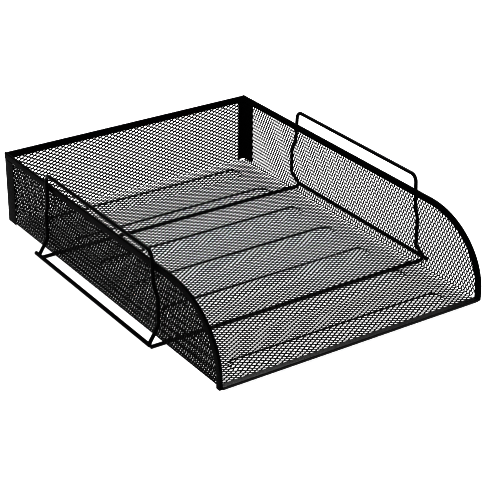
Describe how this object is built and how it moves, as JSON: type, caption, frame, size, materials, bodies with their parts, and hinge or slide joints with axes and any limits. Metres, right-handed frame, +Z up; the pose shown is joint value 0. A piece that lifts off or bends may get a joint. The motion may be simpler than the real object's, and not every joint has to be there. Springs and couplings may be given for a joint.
{
  "type": "letter tray",
  "caption": "Stackable black wire-mesh letter tray: open-fronted basket with curved side walls and channel rims, on a bent wire frame with raised side bars.",
  "frame": {"origin": "on the table, under the middle of the tray's footprint", "axes": "+Z up, +Y towards the back wall, +X to the right of someone facing the open front"},
  "size_m": [0.2774, 0.3468, 0.0818],
  "materials": {
    "mesh": "fine-textured semi-gloss black powder coat",
    "side_rim": "semi-gloss black powder coat",
    "back_rim": "semi-gloss black powder coat",
    "front_strip": "semi-gloss black powder coat",
    "corner_strip": "semi-gloss black powder coat",
    "arch": "glossy black powder coat",
    "rail": "glossy black powder coat",
    "cross_wire": "glossy black powder coat"
  },
  "bodies": {
    "root": {"mesh_basket": "mesh", "rim_left": "side_rim", "rim_right": "side_rim", "rim_back": "back_rim", "front_strip": "front_strip", "corner_strip_left": "corner_strip", "corner_strip_right": "corner_strip", "arch_left": "arch", "arch_right": "arch", "rail_left": "rail", "rail_right": "rail", "cross_wire_front": "cross_wire", "cross_wire_rear": "cross_wire"}
  },
  "joints": []
}
